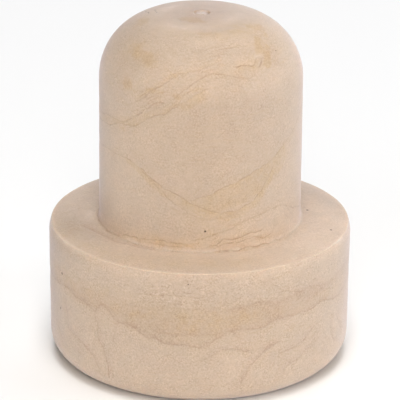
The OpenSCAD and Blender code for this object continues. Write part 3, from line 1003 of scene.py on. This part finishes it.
def foam_material(colours, section, fields, layer_count):
    """Foamed thermoplastic elastomer, moulded.

    Its closed skin is matte. Light enters it a little way and comes out again nearby, and the fine fuzz of
    torn cells gives a cool sheen towards the outline. Where the foam flowed together it is creased and brown.
    """
    material = bpy.data.materials.new("Moulded TPE Foam")
    material.use_nodes = True
    tree = material.node_tree
    tree.nodes.clear()
    node = partial(add_node, tree)

    metres = node("ShaderNodeTexCoord", output="Object")
    place = node("ShaderNodeVectorMath", {0: metres, "Scale": 1 / MM}, operation="SCALE")
    x, y, height = [node("ShaderNodeSeparateXYZ", {0: place}, output=axis) for axis in "XYZ"]
    field = {name: node("ShaderNodeAttribute", output="Fac", attribute_name=name) for name in fields}
    # the field "across" rises by 1 for each mm across the flow
    level = node("ShaderNodeMath", {0: field["across"], 1: NARROWER}, operation="MULTIPLY")
    along_flow = node("ShaderNodeCombineXYZ", {0: x, 1: y, 2: level})
    wrinkle = node("ShaderNodeTexNoise", {"Vector": along_flow, "Scale": 1 / WRINKLE, "Detail": 3.0})
    blotch = node(
        "ShaderNodeTexNoise", {"Vector": place, "Scale": 1 / BLOTCH, "Detail": 4.0, "Roughness": 0.62}
    )
    dapple = node(
        "ShaderNodeMapRange",
        {"Value": blotch, "From Min": 0.3, "From Max": 0.65, "To Min": 0.3, "To Max": 1.2},
    )

    # the grain is stronger in some patches than in others
    grain = node(
        "ShaderNodeTexNoise", {"Vector": place, "Scale": 1 / GRAIN, "Detail": 2.0, "Roughness": 0.6}
    )
    grain = node("ShaderNodeMath", {0: grain, 1: 0.5}, operation="SUBTRACT")
    patchy = node("ShaderNodeTexNoise", {"Vector": place, "Scale": 1 / PATCH, "Detail": 2.0})
    patchy = node(
        "ShaderNodeMapRange",
        {"Value": patchy, "From Min": 0.3, "From Max": 0.7, "To Min": 0.5, "To Max": 1.5},
    )
    grain = node("ShaderNodeMath", {0: grain, 1: patchy}, operation="MULTIPLY")

    lines, brown, wander = flow_marks(node, place, field, layer_count)
    lines, crumbs = fine_marks(node, place, wrinkle, field, lines)
    tone, grain_tone = skin_tones(node, place, along_flow, field, grain, height)

    # the brown is blotchy, its spots have ragged edges, and it lies faintly in the wrinkles
    brown = node("ShaderNodeMath", {0: brown, 1: dapple}, operation="MULTIPLY")
    spots = node("ShaderNodeMath", {0: field["tan"], 1: blotch}, operation="ADD")
    spots = node(
        "ShaderNodeMapRange",
        {"Value": spots, "From Min": 0.7, "From Max": 1.2, "To Max": 0.8},
        interpolation_type="SMOOTHSTEP",
    )
    brown = node("ShaderNodeMath", {0: brown, 1: spots}, operation="ADD")
    faint = node("ShaderNodeMapRange", {"Value": wrinkle, "From Min": 0.5, "From Max": 0.8, "To Max": 0.3})
    brown = node("ShaderNodeMath", {0: brown, 1: faint}, operation="ADD", use_clamp=True)

    # the shade in the folds and spots is redder than the foam
    shade = node("ShaderNodeMath", {0: field["shade"], 1: dapple}, operation="MULTIPLY")
    shade = node("ShaderNodeMath", {0: spots, 1: 0.3, 2: shade}, operation="MULTIPLY_ADD")
    shade = node(
        "ShaderNodeVectorMath",
        {0: shade, 1: (-0.11, -0.16, -0.15), 2: (1.0, 1.0, 1.0)},
        operation="MULTIPLY_ADD",
    )

    # the flash (partly a painted highlight on its crest), thin films of skin, painted light on the plug's
    # left side and crumbs are paler
    flash = flash_paleness_and_highlight(node, place, height, section.edge)
    pale = node("ShaderNodeMath", {0: field["pale"], 1: dapple}, operation="MULTIPLY")
    pale = node("ShaderNodeMath", {0: flash, 1: pale}, operation="ADD")
    pale = node("ShaderNodeMath", {0: pale, 1: crumbs}, operation="ADD", use_clamp=True)

    paint = (*colours.foam, 1)
    for share, over in ((brown, colours.tan), (lines, colours.vein)):
        mix = {FACTOR: share, UNDER: paint, OVER: (*over, 1)}
        paint = node("ShaderNodeMix", mix, output=MIXED, data_type="RGBA")
    paint = node("ShaderNodeVectorMath", {0: paint, "Scale": tone}, operation="SCALE")
    paint = node("ShaderNodeVectorMath", {0: paint, 1: shade}, operation="MULTIPLY")
    paint = node("ShaderNodeVectorMath", {0: paint, 1: grain_tone}, operation="MULTIPLY")
    mix = {FACTOR: pale, UNDER: paint, OVER: (*colours.flash, 1)}
    paint = node("ShaderNodeMix", mix, output=MIXED, data_type="RGBA")

    # the ragged ring and torn nub of the gate mark, a little off the middle, then the specks
    gate = (0.05, 0.2, section.height[0])
    dots = [(gate, 0.75, colours.vein, 0.45), (gate, 0.58, colours.nub, 0.8)]
    for part, degrees, distance, radius in SPECKS:
        dots.append((tuple(section.spot(part, degrees, distance)), radius, colours.speck, 0.95))
    ragged = node("ShaderNodeMath", {0: wander, 1: 0.05}, operation="MULTIPLY")
    for centre, radius, over, strength in dots:
        away = node("ShaderNodeVectorMath", {0: place, 1: centre}, output="Value", operation="DISTANCE")
        if centre == gate:
            away = node("ShaderNodeMath", {0: away, 1: ragged}, operation="ADD")
        rim = {"From Min": radius * 0.8, "From Max": radius * 1.2, "To Min": strength, "To Max": 0.0}
        inside = node("ShaderNodeMapRange", {"Value": away, **rim})
        mix = {FACTOR: inside, UNDER: paint, OVER: (*over, 1)}
        paint = node("ShaderNodeMix", mix, output=MIXED, data_type="RGBA")

    # in mm: the lines are sunk, and the grain stands out a little
    sunk = node("ShaderNodeMath", {0: lines, 1: -0.05}, operation="MULTIPLY")
    bumps = node("ShaderNodeMath", {0: grain, 1: 0.016, 2: sunk}, operation="MULTIPLY_ADD")
    normal = node("ShaderNodeBump", {"Height": bumps, "Distance": MM, "Strength": 1.0})

    shader = node(
        "ShaderNodeBsdfPrincipled",
        {
            "Base Color": paint,
            "Roughness": 0.6,
            "IOR": 1.49,
            "Subsurface Weight": 0.6,
            "Subsurface Radius": (1.0, 0.7, 0.5),
            "Subsurface Scale": 1.2 * MM,
            "Sheen Weight": 0.26,
            "Sheen Roughness": 0.35,
            "Sheen Tint": (*linear("#EDE6FF"), 1),
            "Normal": normal,
        },
    )
    node("ShaderNodeOutputMaterial", {"Surface": shader})
    return material


class STOPPER_OT_body(bpy.types.Operator):
    """Turns the stopper from its section and gives it its foam skin"""

    bl_idname = "stopper.body"
    bl_label = "Stopper"

    def execute(self, context):
        mesh, section, fields, layer_count = build_stopper(context.scene.stopper_sizes)
        body = bpy.data.objects.new("moulded_stopper", mesh)
        context.collection.objects.link(body)
        foam = foam_material(context.scene.stopper_colours, section, fields, layer_count)
        mesh.materials.append(foam)
        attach(body, "root")
        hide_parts("stopper")
        return {"FINISHED"}


# ---------------------------------------------------------------------------
# The stage
# ---------------------------------------------------------------------------

# in m, and about half-way up the stopper
MIDDLE = Vector((0, 0, 0.016))
# The lamps hang 1 m from there. Each has a name, azimuth and elevation in degrees, size in m, power in W
# and a colour.
LIGHTS = (
    ("top", 0, 80, 0.35, 4.1, "#FFFDFA"),
    ("high_front", 0, 60, 0.35, 2.7, "#FFFDFA"),
    ("front", 0, 35, 0.35, 2.8, "#FFF6EC"),
    ("front_left", -40, 8, 0.35, 2.8, "#F5FAFF"),
    ("left", -75, 8, 0.35, 0.4, "#F7FBFF"),
    ("right", 75, 8, 0.35, 4.0, "#F8FBFF"),
    ("right_back", 105, 8, 0.35, 1.7, "#F0F7FF"),
    ("back_right", 150, 10, 0.8, 2.6, "#F6FAFF"),
    ("back", 180, 25, 0.8, 1.8, "#F0F6FF"),
    ("high_back", 180, 60, 0.8, 1.5, "#EFF5FF"),
)

FLOOR_SIZE = 2.2
# how strong the room is as a light, and to look at
ROOM_LIGHT = 0.03
ROOM_SEEN = 0.85

# distance and height in m, angles in degrees, focal length in mm
CAMERA_DISTANCE = 0.3
CAMERA_ELEVATION = 21.153
CAMERA_ROLL = 0.5157
AIM_HEIGHT = 0.015462
FOCAL = 279.2


class STOPPER_OT_stage(bpy.types.Operator):
    """Lays a pale floor in a pale room, hangs soft studio lights and sets up the camera"""

    bl_idname = "stopper.stage"
    bl_label = "Stage"

    def execute(self, context):
        scene = context.scene
        scene.view_settings.view_transform = "Standard"

        bpy.ops.mesh.primitive_plane_add(size=FLOOR_SIZE)
        floor = context.object
        floor.name = "floor"
        # painted board: it throws soft light back up and shows no gloss
        paint = bpy.data.materials.new("Matte White Board")
        paint.use_nodes = True
        shader = paint.node_tree.nodes["Principled BSDF"]
        shader.inputs["Base Color"].default_value = (*linear("#F7F7F7"), 1)
        shader.inputs["Roughness"].default_value = 0.9
        floor.data.materials.append(paint)

        for name, azimuth, elevation, size, power, colour_hex in LIGHTS:
            light = bpy.data.lights.new(name, "AREA")
            light.size = size
            light.energy = power
            light.color = linear(colour_hex)
            lamp = bpy.data.objects.new(name, light)
            turn = math.radians(azimuth)
            rise = math.radians(elevation)
            level = math.cos(rise)
            towards = Vector((math.sin(turn) * level, -math.cos(turn) * level, math.sin(rise)))
            lamp.location = MIDDLE + towards
            lamp.rotation_euler = (-towards).to_track_quat("-Z", "Y").to_euler()
            context.collection.objects.link(lamp)

        # the room behind the floor is pale to look at, and gives little light
        world = bpy.data.worlds.new("studio")
        scene.world = world
        world.use_nodes = True
        world.node_tree.nodes.clear()
        node = partial(add_node, world.node_tree)
        seen = node("ShaderNodeLightPath", output="Is Camera Ray")
        strength = node("ShaderNodeMapRange", {"Value": seen, "To Min": ROOM_LIGHT, "To Max": ROOM_SEEN})
        room = node("ShaderNodeBackground", {"Color": (1, 1, 1, 1), "Strength": strength})
        node("ShaderNodeOutputWorld", {"Surface": room})

        lens = bpy.data.cameras.new("camera")
        lens.sensor_width = 36
        lens.lens = FOCAL
        lens.clip_start = 0.01
        camera = bpy.data.objects.new("camera", lens)
        context.collection.objects.link(camera)
        elevation = math.radians(CAMERA_ELEVATION)
        back = Vector((0, -math.cos(elevation), math.sin(elevation)))
        camera.location = MIDDLE + back * CAMERA_DISTANCE
        aim = Vector((0, 0, AIM_HEIGHT)) - camera.location
        camera.rotation_mode = "QUATERNION"
        roll = Quaternion((0, 0, 1), math.radians(CAMERA_ROLL))
        camera.rotation_quaternion = aim.to_track_quat("-Z", "Y") @ roll
        scene.camera = camera
        return {"FINISHED"}


class STOPPER_PT_panel(bpy.types.Panel):
    """Lists the stopper's pieces and its stage"""

    bl_label = "Stopper"
    bl_idname = "STOPPER_PT_panel"
    bl_space_type = "VIEW_3D"
    bl_region_type = "UI"
    bl_category = "Stopper"

    def draw(self, context):
        for operator in (STOPPER_OT_body, STOPPER_OT_stage):
            self.layout.operator(operator.bl_idname)


CLASSES = (
    StopperSizes,
    StopperColours,
    STOPPER_OT_body,
    STOPPER_OT_stage,
    STOPPER_PT_panel,
)


def register():
    """Registers the classes and gives the scene its sizes and colours."""
    for cls in CLASSES:
        bpy.utils.register_class(cls)
    bpy.types.Scene.stopper_sizes = PointerProperty(type=StopperSizes)
    bpy.types.Scene.stopper_colours = PointerProperty(type=StopperColours)


def unregister():
    """Takes back what register did."""
    del bpy.types.Scene.stopper_colours
    del bpy.types.Scene.stopper_sizes
    for cls in reversed(CLASSES):
        bpy.utils.unregister_class(cls)


def main():
    """Builds everything in order."""
    register()
    bpy.ops.stopper.body()
    bpy.ops.stopper.stage()


if __name__ == "__main__":
    main()
